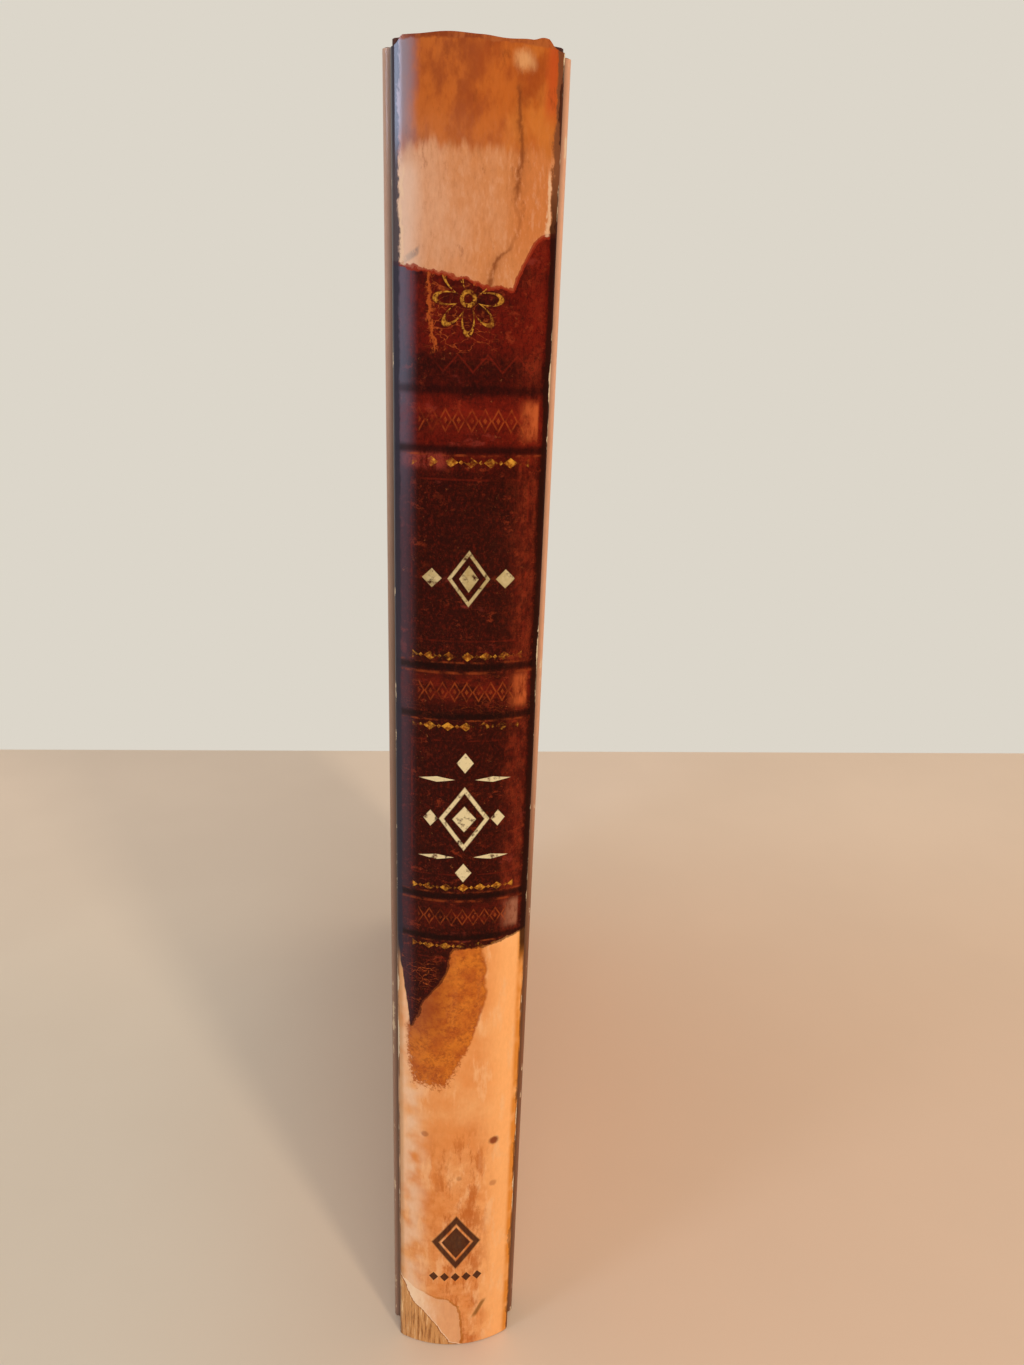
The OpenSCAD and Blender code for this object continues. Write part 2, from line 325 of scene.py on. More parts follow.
def paper(fibre, mottle):  # its grain and its blotches
    gives = place(paperGrain, Fibre=fibre, Mottle=mottle)
    return gives["Grain"], gives["Blotch"]


def chips(distance, reach, amount, chip, seed):
    return place(foldWear, Distance=distance, Reach=reach, Amount=amount, Chip=chip, Seed=seed)["Chips"]


def diamond(x, z, halfWidth, halfHeight, line, atX=0, atZ=0):
    return place(lozenge, X=x, Z=z, AtX=atX, AtZ=atZ, HalfWidth=halfWidth, HalfHeight=halfHeight, Line=line)


paperGrain = makePaperGrain()
foldWear = makeFoldWear()
cracks = makeCracks()
lozenge = makeLozenge()
weave = makeWeave()
say("shared effects are made")


def startMaterial(name, look=None, **values):
    material = bpy.data.materials.new(name)
    material.use_nodes = True
    drawing.update(tree=material.node_tree, look=look or {})
    for title, value in values.items():
        material.node_tree.nodes["Principled BSDF"].inputs[title].default_value = value
    return material


def partPlace(bends=False):  # place on the piece in mm; a sheet that bends reads its place at rest
    if bends:
        spot = addNode("Attribute", attribute_name="restPlace").outputs["Vector"]
    else:
        spot = addNode("TexCoord").outputs["Object"]
    drawing["where"] = addNode("VectorMath", {0: spot, "Scale": 1 / mm}, operation="SCALE").outputs[0]
    split = addNode("SeparateXYZ", {0: drawing["where"]}).outputs
    return split[0], minus(split[1], frontY / mm), split[2]


def dress(material, colour, roughness=None, height=None, strength=1, distance=1, coat=None):
    normal = None
    if height:
        inputs = {"Strength": strength, "Distance": distance * mm, "Height": height}
        normal = addNode("Bump", inputs).outputs[0]
    shader = material.node_tree.nodes["Principled BSDF"]
    values = {"Base Color": colour, "Roughness": roughness, "Coat Weight": coat, "Normal": normal}
    for title, value in values.items():
        feed(shader.inputs[title], value)
    return material


# the print on the jacket's spine
spinePrint = dict(
    tail="e29150", tailLight="ecaa6e", tailDeep="d07430", tailLeft="eec6a2", tailRight="ffb874",
    tailEdge="d9801f", tailShine="f4bd88", tailShade="b85e20", tailSpeck="8e4416", tailSpot="7a2c10",
    tailWorn="b48458", stain="b45616", stainLight="cf7420", stainDark="84300f", bareDeep="83502a",
    bare="cf965c", barePale="efcb98", flap="e3a878", flapPale="f8dcba", flapShade="a8641e", ink="30120f",
    slash="7a4f1c", fibre="b56a28", leather="2f0803", leatherLight="561508", leatherRed="8c2410",
    crackle="b0531f", crackleDim="8e3c1a", ruby="8a3218", glow="6e1406", dust="9c5a30", rub="8a3428",
    plum="544252", plumHigh="62687e", lozenge="a84c1c", edgeBlue="2b2836", edgeRed="280d06", edgeTan="74452c",
    rimRed="8e2c16", rimDark="3a1008", lowLine="5a2c12", bandShine="bc5a2c", bandShineLow="a0664c",
    shadow="120302", tan="c8824f", tanLight="d29a74", tanDeep="c8763c", tanShade="a5673a", tanPale="dcaa86",
    veil="e6cbb8", orange="b95f1e", orangeLight="cc7a30", orangeDark="9a4414", orangeBrown="8e3e12",
    orangeRed="bc4a1c", headPale="dfa870", crackBrown="74381a", smudge="7a3a16", greySmudge="6a5450",
    headFibre="8a4a1e", rim="7e3618", rimLight="a65a2c", haze="8a8d9e", tornPale="e8c8a4", bandLow=105,
    bandStep=41.5, bandHalf=3.6, rowPitch=1.9, rowReach=7.6, dots=5.9, ornament="a3481e", gilt="dc9a34",
    giltDark="8a4a10", cream="dfcd9e", creamDark="a8915c", chip="e6cda8", speck="33130a", rose="c88e30",
    roseDark="6e3c0e",
    tearTop=(
        (-13, 208.8), (-10, 208.4), (-4, 207.2), (1, 206), (5.2, 205.2), (6.8, 208.8), (8.5, 211.9),
        (13, 213.2),
    ),
    tearLow=(
        (-13, 81.5), (-8.8, 81), (-6.6, 87.2), (-3.7, 91.4), (-2.4, 94.6), (-1.6, 98.6), (5.5, 99.1),
        (13, 101.8),
    ),
    crackLine=(
        (-13, 2.3), (-11.4, 2.7), (-10.1, 3.6), (-9.4, 4.7), (-7.7, 5.6), (-5.7, 6.1), (-4.1, 5.3),
        (-0.5, 5.6), (1.5, 5.9), (3.1, 5.9), (6.8, 5.4), (10.6, 5.4), (13, 5.1),
    ),
    cornerLine=(
        (-13, 19.5), (-11.4, 17.6), (-10, 15.4), (-8.4, 11.2), (-5.6, 8.2), (-3.4, 5.2), (-1.1, 1), (13, -4),
    ),
    flapLine=(
        (-13, 19.5), (-10.6, 17), (-8, 15), (-5, 13.8), (-1.4, 12.9), (0.3, 11.2), (1.1, 7.5), (1.5, -4),
        (13, -4),
    ),
    foldX=11.37, foldDepth=3.6, orangeFrom=222.9, roseX=-0.8, roseZ=204.2, laceZ=194.6,
    marks=(
        (0, 164.8, 3.4, 4.6), (0, 164.8, 1.5, 2.1), (-5.6, 164.8, 1.5, 1.5), (5.6, 164.8, 1.5, 1.5),
        (0, 134.2, 1.4, 1.8), (-4.6, 131.2, 3, 0.5), (4.6, 131.2, 3, 0.5), (0, 124, 4.4, 6.2),
        (0, 124, 2, 2.4), (-5.6, 124, 1.2, 1.5), (5.6, 124, 1.2, 1.5), (-4.6, 116.8, 3, 0.5),
        (4.6, 116.8, 3, 0.5), (0, 113.8, 1.4, 1.8),
    ),
    spots=(
        (6.9, 54.2, 1.15, 0.9), (-6.3, 56.4, 0.9, 0.45), (0.3, 45.8, 0.8, 0.35), (7, 43.4, 1, 0.4),
    ),
)
jacketGloss = {"Coat Roughness": 0.1, "Specular IOR Level": 0.06}


topTear = makeTornEdge("topTear", spinePrint["tearTop"])
lowTear = makeTornEdge("lowTear", spinePrint["tearLow"])
cornerTear = makeTornEdge("cornerTear", spinePrint["cornerLine"])
flapTear = makeTornEdge("flapTear", spinePrint["flapLine"])


def leatherColour(x, z):  # mottled, crackled and rubbed leather, lighter at its right side (the print's highlight and painted light together), with a painted bluish reflection down its left side
    mottle = cloud(0.3, 6, 0.68, 1)
    streak = cloud(0.6, 4, 0.6, 4, (1, 1, 0.15))
    lit = both(fade(x, 4.5, 8.6), fade(x, 10.4, 9.6))
    light = fade(plus(timesPlus(lit, 0.42, times(streak, 0.4)), times(mottle, 0.8)), 0.6, 1.25)
    paint = Paint(layer("leather", "leatherLight", light))
    scuff = cloud(0.9, 6, 0.72, 8, (1, 1, 0.4))
    paint("ruby", fade(timesPlus(mottle, 0.4, scuff), 0.58, 0.95), lit, 0.75)
    paint("glow", either(nearTo(z, 187.5, 9, 2), fade(z, 195, 199)), fade(mottle, 0.3, 0.55), 0.6)
    pore = cloud(2, 5, 0.75, 14, (1, 1, 0.7))
    paint("leatherRed", fade(pore, 0.48, 0.7), 0.3)
    paint("shadow", fade(pore, 0.5, 0.32), 0.6)
    paint("dust", fade(cloud(1.1, 6, 0.75, 16), 0.62, 0.7), 0.6)
    paint("rub", fade(cloud(0.28, 5, 0.65, 10, (0.5, 1, 1)), 0.6, 0.68), 0.45)
    scratch = cloud(0.55, 6, 0.75, 20, (0.7, 1, 1))
    paint("ruby", fade(scratch, 0.55, 0.64), fade(cloud(0.12, 2, 0.5, 25), 0.4, 0.55), 0.6)
    under = nearTo(z, 182.4, 1.9, 0.7)
    paint("rub", under, fade(x, -10.6, -9.6), fade(x, -2.6, -4.8), fade(scuff, 0.36, 0.56), 0.85)
    paint("leather", place(cracks, Scale=0.8, Width=0.05, Seed=2)["Crack"], 0.4)
    loose = place(cracks, Where=stretched(0.45, 1, 1.3), Scale=0.9, Width=0.04, Seed=5)["Crack"]
    patch = fade(cloud(0.3, 4, 0.65, 12), 0.42, 0.6)
    low = both(fade(z, 98, 95), fade(x, -3, -5), 0.95)
    loose = both(loose, patch, either(low, both(nearTo(z, 146, 6, 3), 0.3), 0.05))
    net = layer("crackleDim", "crackle", fade(scuff, 0.4, 0.62))
    paint(net, loose)
    wide = place(cracks, Where=stretched(0.42, 1, 0.95), Scale=0.9, Width=0.045, Seed=9)["Crack"]
    high = both(fade(z, 196.6, 197.6), fade(gap(plus(x, 1.6)), 6.2, 3.5))
    paint(net, wide, high, fade(cloud(0.9, 5, 0.7, 15), 0.4, 0.6), 0.85)
    tear = fade(gap(moved(plus(x, 6), cloud(0.4, 5, 0.7, 18), 5)), 0.4, 0.1)
    paint("crackle", tear, fade(z, 196.6, 197.8), fade(scuff, 0.4, 0.48), 0.8)
    # painted reflection: a bluish-purple sheen down the left side, paler towards the head
    leftReflection = both(fade(x, -7.6, -10), timesPlus(fade(z, 90, 210), 0.35, 0.3))
    return paint(layer("plum", "plumHigh", fade(z, 168, 198)), leftReflection)


def bandColour(look, colour, x, z):  # printed raised bands, their ornament and gilt dots
    paint = Paint(colour)
    step = look["bandStep"]
    fromBand = calc("WRAP", minus(z, look["bandLow"]), step / 2, -step / 2)
    away = gap(fromBand)
    half = look["bandHalf"]
    inBand = fade(away, half + 0.15, half - 0.15)
    lift = nearTo(fromBand, 0.6, half, half * 0.25)
    worn = cloud(0.5, 5, 0.68, 6, (0.6, 1, 1))
    level = times(plus(times(fade(x, -9.5, -3), 0.5), 0.5), timesPlus(fade(z, 112, 125), 0.2, 0.25))
    paint("leatherRed", inBand, lift, fade(worn, 0.36, 0.7), level)
    end = both(fade(x, 6.2, 8.8), fade(x, 9.9, 9.5))
    patchy = fade(cloud(0.6, 5, 0.7, 22, (1.4, 1, 0.5)), 0.3, 0.6)
    shine = both(inBand, end, fade(away, half * 0.95, half * 0.5), patchy, 0.9)
    paint(layer("bandShine", "bandShineLow", fade(z, 125, 110)), shine)
    ridge = nearTo(fromBand, half - 0.4, 0.35, 0.1)
    below = fade(z, 190.4, 189.4)
    paint("ornament", ridge, fade(worn, 0.42, 0.6), below, 0.4)
    paint("shadow", nearTo(away, half + 0.55, 1, 0.15), timesPlus(below, 0.2, 0.55))
    paint("shadow", nearTo(z, 193, 2.6, 0.6), fade(x, -10.4, -7.4), 0.25)
    faded = fade(cloud(0.6, 4, 0.65, 21), 0.38, 0.62)
    rule = nearTo(away, half + 1.3, 0.24, 0.08)
    paint("ornament", rule, faded, fade(worn, 0.4, 0.55), below, 0.5)
    pitch = look["rowPitch"]
    nearest = calc("WRAP", x, pitch / 2, -pitch / 2)
    inRow = fade(gap(x), look["rowReach"] + 0.15, look["rowReach"] - 0.15)
    row = diamond(nearest, fromBand, pitch * 0.52, 1.75, 0.18)
    mid = diamond(nearest, fromBand, 0.3, 0.5, 0.2)["Fill"]
    paint("lozenge", either(row["Outline"], mid), inRow, timesPlus(faded, 0.4, 0.08))
    dotGap = minus(away, look["dots"])
    dotX = calc("WRAP", x, 1.45, -1.45)
    small = calc("WRAP", plus(x, 1.45), 1.45, -1.45)
    big = diamond(dotX, dotGap, 1.05, 0.75, 0.2)["Fill"]
    little = diamond(small, dotGap, 0.35, 0.35, 0.2)["Fill"]
    rubbed = fade(cloud(0.4, 4, 0.7, 33), 0.4, 0.6)
    gilt = layer("giltDark", "gilt", fade(cloud(1.4, 3, 0.6, 35), 0.4, 0.62))
    paint(gilt, either(big, little), both(fade(gap(x), 8.7, 8.4), fade(z, 190, 189)), rubbed, 0.9)
    frameLine = nearTo(away, 8.4, 0.2, 0.08)
    inside = fade(gap(x), 8.8, 8.6)
    side = both(nearTo(gap(x), 8.7, 0.2, 0.08), fade(away, 8.3, 8.5))
    return paint("leatherRed", either(both(frameLine, inside), side), faded, 0.22)


def ornamentColour(look, colour, x, z):  # plain cream and gilt ornaments between the bands
    paint = Paint(colour)
    worn = fade(cloud(0.9, 4, 0.65, 41), 0.3, 0.5)
    marks = []
    for atX, atZ, wide, high in look["marks"]:
        shape = diamond(x, z, wide, high, 0.12, atX, atZ)
        marks.append(shape["Outline"] if high > 2.5 else shape["Fill"])
    bright = timesPlus(fade(z, 158, 150), 0.55, cloud(0.5, 3, 0.6, 43))
    paint(layer("creamDark", "cream", fade(bright, 0.2, 1)), either(*marks), worn, 0.95)
    u = minus(x, look["roseX"])
    v = minus(z, look["roseZ"])
    angle = calc("ARCTAN2", v, u)
    reach = reachOf(u, v)
    outline = timesPlus(gap(calc("COSINE", times(angle, 4))), 2.9, 1.7)
    leaf = nearTo(reach, outline, 0.46, 0.2)
    core = nearTo(reach, 0.9, 0.35, 0.15)
    gilt = layer("roseDark", "rose", fade(cloud(1.3, 3, 0.6, 45), 0.36, 0.6))
    rose = both(either(leaf, core), fade(cloud(1.3, 5, 0.75, 46), 0.42, 0.52))
    paint("shadow", fade(minus(reach, outline), 0.9, 0.3), 0.35)
    paint(gilt, rose, 0.9)
    lace = minus(minus(z, look["laceZ"]), times(calc("PINGPONG", plus(x, 21), 2.1), 1.1))
    return paint("leatherRed", fade(gap(lace), 0.28, 0.1), fade(gap(x), 9.3, 9), fade(x, -8, -2), 0.24)


def headColour(look, x, z):  # tan and orange fields at the head, with a painted reflection at its left fold
    grain = paper(2.4, 0.16)[0]
    soft = cloud(0.2, 4, 0.6, 19, (1, 1, 0.5))
    fine = cloud(1.3, 6, 0.75, 7, (1, 1, 0.4))
    paint = Paint(layer("tan", "tanLight", fade(timesPlus(x, -0.03, soft), 0.35, 0.8)))
    paint("tanDeep", fade(x, 3.5, 6.5), fade(z, 205, 214), 0.7)
    paint("tanShade", fade(fine, 0.5, 0.68), 0.35)
    paint("tanPale", fade(fine, 0.5, 0.36), 0.3)
    drip = cloud(0.45, 4, 0.6, 29, (1, 1, 0.16))
    cloudy = cloud(0.24, 5, 0.62, 9, (1, 1, 0.6))
    over = minus(z, moved(look["orangeFrom"], drip, 8))
    burnt = layer("orangeDark", "orange", fade(cloudy, 0.4, 0.58))
    brown = both(fade(gap(plus(x, 3.5)), 5, 1), fade(z, 224, 232))
    burnt = layer(burnt, "orangeBrown", brown, fade(cloudy, 0.62, 0.42))
    burnt = layer(burnt, "orangeDark", fade(fine, 0.5, 0.7), 0.35)
    burnt = layer(burnt, "orangeLight", fade(soft, 0.48, 0.62), fade(x, -1, 3), 0.6)
    side = moved(x, drip, 2)
    red = both(fade(side, 8.4, 9.6), fade(side, 10.7, 10.2), fade(plus(z, fine), 225.5, 229))
    burnt = layer(burnt, "orangeRed", red, 0.8)
    paint(burnt, fade(over, -1.2, 0.7), timesPlus(fade(z, 222.5, 229), 0.18, 0.77))
    u = moved(minus(x, 5.9), cloudy, 4)
    v = moved(minus(z, 232.9), fine, 3)
    pale = calc("SQRT", timesPlus(u, u, times(v, v)))
    paint("headPale", fade(pale, 1.9, 0.3), 0.7)
    wobble = minus(cloud(0.9, 4, 0.6, 49), 0.5)
    line = gap(timesPlus(wobble, 1.2, x), lineHeight(minus(z, 220), look["crackLine"]))
    seen = timesPlus(fade(fine, 0.35, 0.55), 0.55, 0.2)
    seen = both(seen, either(fade(z, 214, 219), fade(z, 212.5, 209), 0.35), fade(z, 231, 229))
    paint("crackBrown", fade(line, 0.55, 0.02), seen)
    paint("smudge", fade(line, 1.7, 0.2), seen, 0.3)
    paint("smudge", fade(cloud(0.45, 5, 0.7, 47, (1, 1, 0.45)), 0.58, 0.7), 0.5)
    scrape = minus(minus(z, 209.3), timesPlus(x, 0.65, 5.8))
    scrape = both(fade(gap(scrape), 0.75, 0.2), fade(x, -10.2, -9.4), fade(x, -7.4, -8))
    paint("greySmudge", scrape, fade(fine, 0.4, 0.5), 0.9)
    paint("headFibre", grain, 0.14)
    # painted reflection at the left fold: pale lower down, bluish higher up
    reflectionX = moved(x, cloudy, 2.4)
    paint("veil", fade(reflectionX, -6.6, -9.8), fade(z, 223, 219), 0.6)
    return paint("haze", fade(reflectionX, -7.2, -10), fade(z, 219.5, 226.5), 0.75)


def tailColour(look, x, z):  # pale field at the tail, with its stain, spots and bare corner
    grain, blotch = paper(1.9, 0.1)
    ripple = cloud(0.22, 2, 0.45, 23)
    rough = cloud(0.45, 5, 0.65, 27)
    speckle = cloud(1.6, 5, 0.75, 28)
    paint = Paint(layer("tail", "tailLight", blotch))
    paint("tailDeep", fade(z, 70, 36), fade(rough, 0.65, 0.35), 0.6)
    paint("tailRight", fade(x, 3, 9), 0.85)
    paint("tailLeft", fade(x, -4.5, -9), fade(ripple, 0.3, 0.6), 0.85)
    streak = cloud(0.5, 6, 0.7, 17, (1, 1, 0.3))
    middle = nearTo(x, 0.5, 7.5, 2)
    paint("tailShine", fade(cloud(0.45, 5, 0.65, 55, (1, 1, 0.25)), 0.52, 0.66), 0.6)
    paint("tailShade", fade(streak, 0.47, 0.62), fade(z, 62, 50), middle, 0.8)
    paint("tailSpeck", fade(speckle, 0.6, 0.7), fade(z, 60, 50), middle, 0.5)
    u = calc("DIVIDE", plus(x, 2.6), 6.4)
    v = calc("DIVIDE", minus(z, 86), 18.5)
    blot = moved(reachOf(timesPlus(v, -0.42, u), v), ripple, 0.5)
    blot = moved(blot, speckle, timesPlus(fade(z, 86, 72), 0.5, 0.12))
    inside = fade(blot, 1.06, 0.94)
    wet = layer("stain", "stainLight", fade(cloud(0.3, 5, 0.7, 57), 0.38, 0.6))
    wet = layer(wet, "stainDark", fade(speckle, 0.42, 0.6), fade(rough, 0.35, 0.6), 0.7)
    wet = layer(wet, "stainDark", fade(x, 0, -6.5), fade(z, 74, 86), 0.75)
    paint(layer(wet, "stainDark", nearTo(blot, 0.97, 0.07, 0.01), 0.4), inside, 0.94)
    for spotX, spotZ, size, power in look["spots"]:
        reach = moved(reachOf(minus(x, spotX), minus(z, spotZ)), rough, size)
        paint("tailSpot", fade(reach, size, size * 0.4), power)
    mark = diamond(x, z, 4.8, 7, 0.2, 0, 29)
    core = diamond(x, z, 2.9, 4.2, 0.12, 0, 29)
    under = diamond(calc("WRAP", x, 1.1, -1.1), z, 0.95, 1.2, 0.2, 0, 19.6)
    under = both(under["Fill"], fade(gap(x), 5.6, 5.4))
    paint("ink", either(mark["Outline"], core["Fill"], under), fade(rough, 0.15, 0.3), 0.95)
    paint("tailEdge", fade(x, 9.7, 10.6), fade(ripple, 0.2, 0.5), 0.85)
    paint("tailWorn", fade(x, -10.1, -10.8), 0.6)
    fringe = cloud(0.9, 4, 0.7, 39, (1, 1, 0.25))
    corner = place(cornerTear, X=x, Z=z, Ragged=0.35, Width=0.22, Seed=19)
    curl = place(flapTear, X=x, Z=z, Ragged=0.5, Width=0.5, Seed=24)
    inFlap = both(corner["Above"], minus(1, curl["Above"]))
    folded = timesPlus(fringe, 0.5, times(plus(x, 11), 0.06))
    flap = layer("flapPale", "flap", fade(folded, 0.35, 0.8))
    paint("flapShade", curl["Rim"], corner["Above"], fade(x, -9, 0), 0.6)
    paint(flap, inFlap, 0.85)
    strips = cloud(1.7, 5, 0.75, 37, (1.2, 1, 0.07))
    bare = layer("bareDeep", "bare", fade(strips, 0.36, 0.5))
    bare = layer(bare, "barePale", fade(strips, 0.54, 0.64))
    paint.colour = layer(bare, paint.colour, corner["Above"])
    # painted highlight along the curled corner's edge
    paint("flapPale", corner["Rim"], corner["Above"], 0.8)
    paint("tailSpeck", corner["Rim"], minus(1, corner["Above"]), fade(fringe, 0.3, 0.5), 0.8)
    slash = fade(gap(minus(times(x, 2.1), minus(z, -0.4))), 1.5, 0.4)
    paint("slash", slash, fade(z, 7.2, 8.6), fade(z, 12.6, 11.4), 0.8)
    return paint("fibre", grain, 0.12)


def makeJacketSpineMaterial(look):
    material = startMaterial("jacketSpinePrint", look, **jacketGloss)
    x, depth, z = partPlace(True)
    leather = ornamentColour(look, bandColour(look, leatherColour(x, z), x, z), x, z)
    low = place(lowTear, X=x, Z=z, Ragged=1.1, Width=0.35, Seed=1)
    top = place(topTear, X=x, Z=z, Ragged=0.8, Width=0.3, Seed=6)
    toFold = minus(look["foldX"], gap(x))
    alongSheet = plus(toFold, calc("MAXIMUM", minus(depth, look["foldDepth"]), 0))
    uneven = cloud(0.4, 4, 0.6, 53, (1, 1, 0.3))
    ragged = minus(cloud(0.6, 5, 0.7, 54, (1, 1, 0.55)), 0.5)
    fromFold = timesPlus(ragged, timesPlus(top["Above"], 1.6, 0.9), toFold)
    inLobe = fade(moved(timesPlus(minus(z, 96), 0.14, plus(x, 11)), uneven, 1.6), -0.1, 0.1)
    paint = Paint(layer(tailColour(look, x, z), leather, low["Above"], inLobe))
    paint("rimDark", low["Rim"], inLobe, 0.7)
    paint(headColour(look, x, z), top["Above"])
    paint("rimRed", top["Rim"], 0.85)
    # dark along both folds: the print's dark edge, carried on as painted shade over the side faces that turn
    # into the grooves
    foldEdgeAndShade = layer("edgeBlue", layer("edgeRed", "edgeTan", fade(z, 212, 221)), fade(x, -1, 1))
    paint(foldEdgeAndShade, fade(z, 92, 98), fade(fromFold, 1.2, 0.8), 0.92)
    pale = both(nearTo(fromFold, 1.35, 0.4, 0.1), top["Above"])
    paint("tornPale", pale, fade(uneven, 0.42, 0.56), fade(z, 224, 220), 0.6)
    paint("lowLine", fade(toFold, 0.45, 0.2), fade(z, 98, 92), fade(uneven, 0.35, 0.5), 0.7)
    paint("chip", chips(alongSheet, 0.8, 0.42, 0.5, 3), 0.9)
    dark = chips(alongSheet, 1.5, 0.56, 0.9, 13)
    paint("speck", dark, fade(x, 2, 6), timesPlus(fade(z, 90, 110), 0.35, 0.45))
    edge = cloud(0.7, 4, 0.65, 51, (1, 1, 0.4))
    head = timesPlus(edge, 1.4, z)
    paint(layer("rim", "rimLight", fade(edge, 0.4, 0.6)), fade(head, 235.25, 235.55), 0.85)
    rough = timesPlus(cloud(0.3, 4, 0.6, 61), 0.2, timesPlus(fade(x, 8.5, 10.8), 0.45, 0.3))
    leftGloss = both(timesPlus(fade(z, 100, 215), 0.45, 0.2), fade(x, 1, -1))
    coat = timesPlus(fade(toFold, 4.5, 1), leftGloss, 0.05)
    ripple = cloud(0.18, 3, 0.5, 71, (1, 1, 0.4))
    pores = cloud(3, 2, 0.5, 72)
    return dress(material, paint.colour, rough, timesPlus(pores, 0.08, ripple), 0.5, 0.35, coat)


coverPrint = dict(
    front="dba27f", frontLight="e2ad8c", frontStrip="5c3216", back="ae8c76", backLight="b8967f",
    backPale="dab5a0", backStrip="8e6a58", streak="a8643c", groove="1e0d09", fibre="9a5a34",
    cloudy=spinePrint["tanDeep"], chip=spinePrint["chip"], shoulder=7, head=234.8, tail=0.2,
)


def makeJacketCoverMaterial(look):
    material = startMaterial("jacketCoverPrint", look, **jacketGloss)
    x, depth, z = partPlace(True)
    grain, blotch = paper(1.8, 0.035)
    fibre = cloud(0.7, 4, 0.6, 7, (1, 1, 0.06))
    front = layer("front", "frontLight", blotch)
    back = layer("back", "backLight", blotch)
    back = layer(back, "backPale", fade(depth, 20, 8), fade(z, 165, 205), 0.8)
    strip = both(fade(depth, 14, 7.6), fade(z, 155, 90))
    front = layer(front, "frontStrip", strip, 0.85)
    paint = Paint(layer(layer(back, "backStrip", strip, 0.5), front, fade(x, -0.5, 0.5)))
    paint("streak", fade(fibre, 0.45, 0.75), 0.15)
    paint("cloudy", fade(cloud(0.03, 5, 0.6, 81), 0.45, 0.75), 0.18)
    paint("chip", chips(gap(depth, look["shoulder"]), 0.7, 0.3, 0.5, 4), 0.8)
    # painted shade in the groove between spine and cover
    paint("groove", fade(depth, look["shoulder"], 6.3), 0.9)
    toEdge = calc("MINIMUM", minus(look["head"], z), minus(z, look["tail"]))
    paint("chip", chips(toEdge, 1, 0.35, 0.6, 14), 0.85)
    paint("fibre", grain, 0.12)
    dull = cloud(0.1, 4, 0.6, 61)
    rough = timesPlus(dull, 0.2, 0.3)
    coat = timesPlus(dull, 0.3, 0.15)
    ripple = cloud(0.06, 3, 0.5, 71)
    pores = cloud(3, 2, 0.5, 72)
    return dress(material, paint.colour, rough, timesPlus(pores, 0.05, ripple), 0.4, 0.4, coat)


def makePaperMaterial(name, light, deep, rough=0.8, fibre=1.5, mottle=0.05, height=0.08, bends=False):
    material = startMaterial(name, **{"Specular IOR Level": 0.25})
    partPlace(bends)
    grain, blotch = paper(fibre, mottle)
    colour = layer(layer(light, deep, blotch, 0.6), deep, grain, 0.35)
    return dress(material, colour, timesPlus(grain, -0.15, rough), grain, 0.5, height)


leafLook = dict(deep="cbb991", light="efe6cc", fox="b58a55", grain="a58f64")


def makeLeavesMaterial(look):  # fine streaks of the leaves' cut edges, with a few brown stains
    material = startMaterial("leafPaper", look, **{"Specular IOR Level": 0.2})
    partPlace()
    sheets = cloud(1, 2, 0.6, 2, (7.5, 0.02, 0.02))
    paint = Paint(layer("deep", "light", fade(sheets, 0.35, 0.65)))
    paint("fox", fade(cloud(0.12, 5, 0.65, 5), 0.6, 0.75), 0.35)
    grain = paper(4, 0.1)[0]
    paint("grain", grain, 0.12)
    return dress(material, paint.colour, timesPlus(sheets, 0.1, 0.8), sheets, 0.6, 0.06)


caseLook = dict(deep="4a2218", light="5f3022", pit="371710", rubbed="8e6a50", head=235)


def makeCaseMaterial(look):  # embossed paper of the case, rubbed at its edges
    material = startMaterial("casePaper", look, **{"Specular IOR Level": 0.35})
    z = partPlace()[2]
    pebble = addNode("TexVoronoi", {"Vector": drawing["where"], "Scale": 1.6}).outputs["Distance"]
    grain, blotch = paper(1.6, 0.04)
    paint = Paint(layer("deep", "light", blotch))
    paint("pit", fade(pebble, 0.25, 0.6), 0.5)
    toEdge = calc("MINIMUM", minus(look["head"], z), z)
    paint("rubbed", chips(toEdge, 0.9, 0.4, 0.8, 9), 0.5)
    return dress(material, paint.colour, timesPlus(grain, 0.15, 0.5), pebble, 0.6, 0.08)


def makeClothMaterial(name, light, deep, threads):
    material = startMaterial(name, **{"Sheen Weight": 0.2, "Specular IOR Level": 0.2})
    x, depth, z = partPlace()
    net = place(weave, X=plus(x, depth), Z=z, Threads=threads)
    colour = layer(light, deep, net["Hole"])
    grain = paper(5, 0.1)[0]
    colour = layer(colour, deep, grain, 0.3)
    return dress(material, colour, timesPlus(grain, 0.1, 0.75), net["Thread"], 0.7, 0.1)


jacketSpinePrint = makeJacketSpineMaterial(spinePrint)
jacketCoverPrint = makeJacketCoverMaterial(coverPrint)
jacketReverse = makePaperMaterial("jacketReverse", "ece3d0", "d9c9aa", 0.7, 1.4, 0.03, bends=True)
jacketEdge = makePaperMaterial("jacketEdge", "c9a27c", "7c4a30", 0.85, 2, 0.3, bends=True)
leafPaper = makeLeavesMaterial(leafLook)
casePaper = makeCaseMaterial(caseLook)
endPaper = makePaperMaterial("endPaper", "efe6d0", "dccbab", 0.8, 1.2, 0.025)
gluedPaper = makePaperMaterial("gluedPaper", "efe6d0", "dccbab", 0.8, 1.2, 0.025, bends=True)
boardGrey = makePaperMaterial("boardGrey", "96928a", "6f6a60", 0.9, 0.9, 0.2, 0.15)
kraftLiner = makePaperMaterial("kraftLiner", "b98f5e", "8f6a42", 0.85, 1, 0.15)
superCloth = makeClothMaterial("superCloth", "e6dfcc", "b6ab90", 0.7)
bandTape = makeClothMaterial("bandTape", "e3d8bd", "b9a680", 1.5)
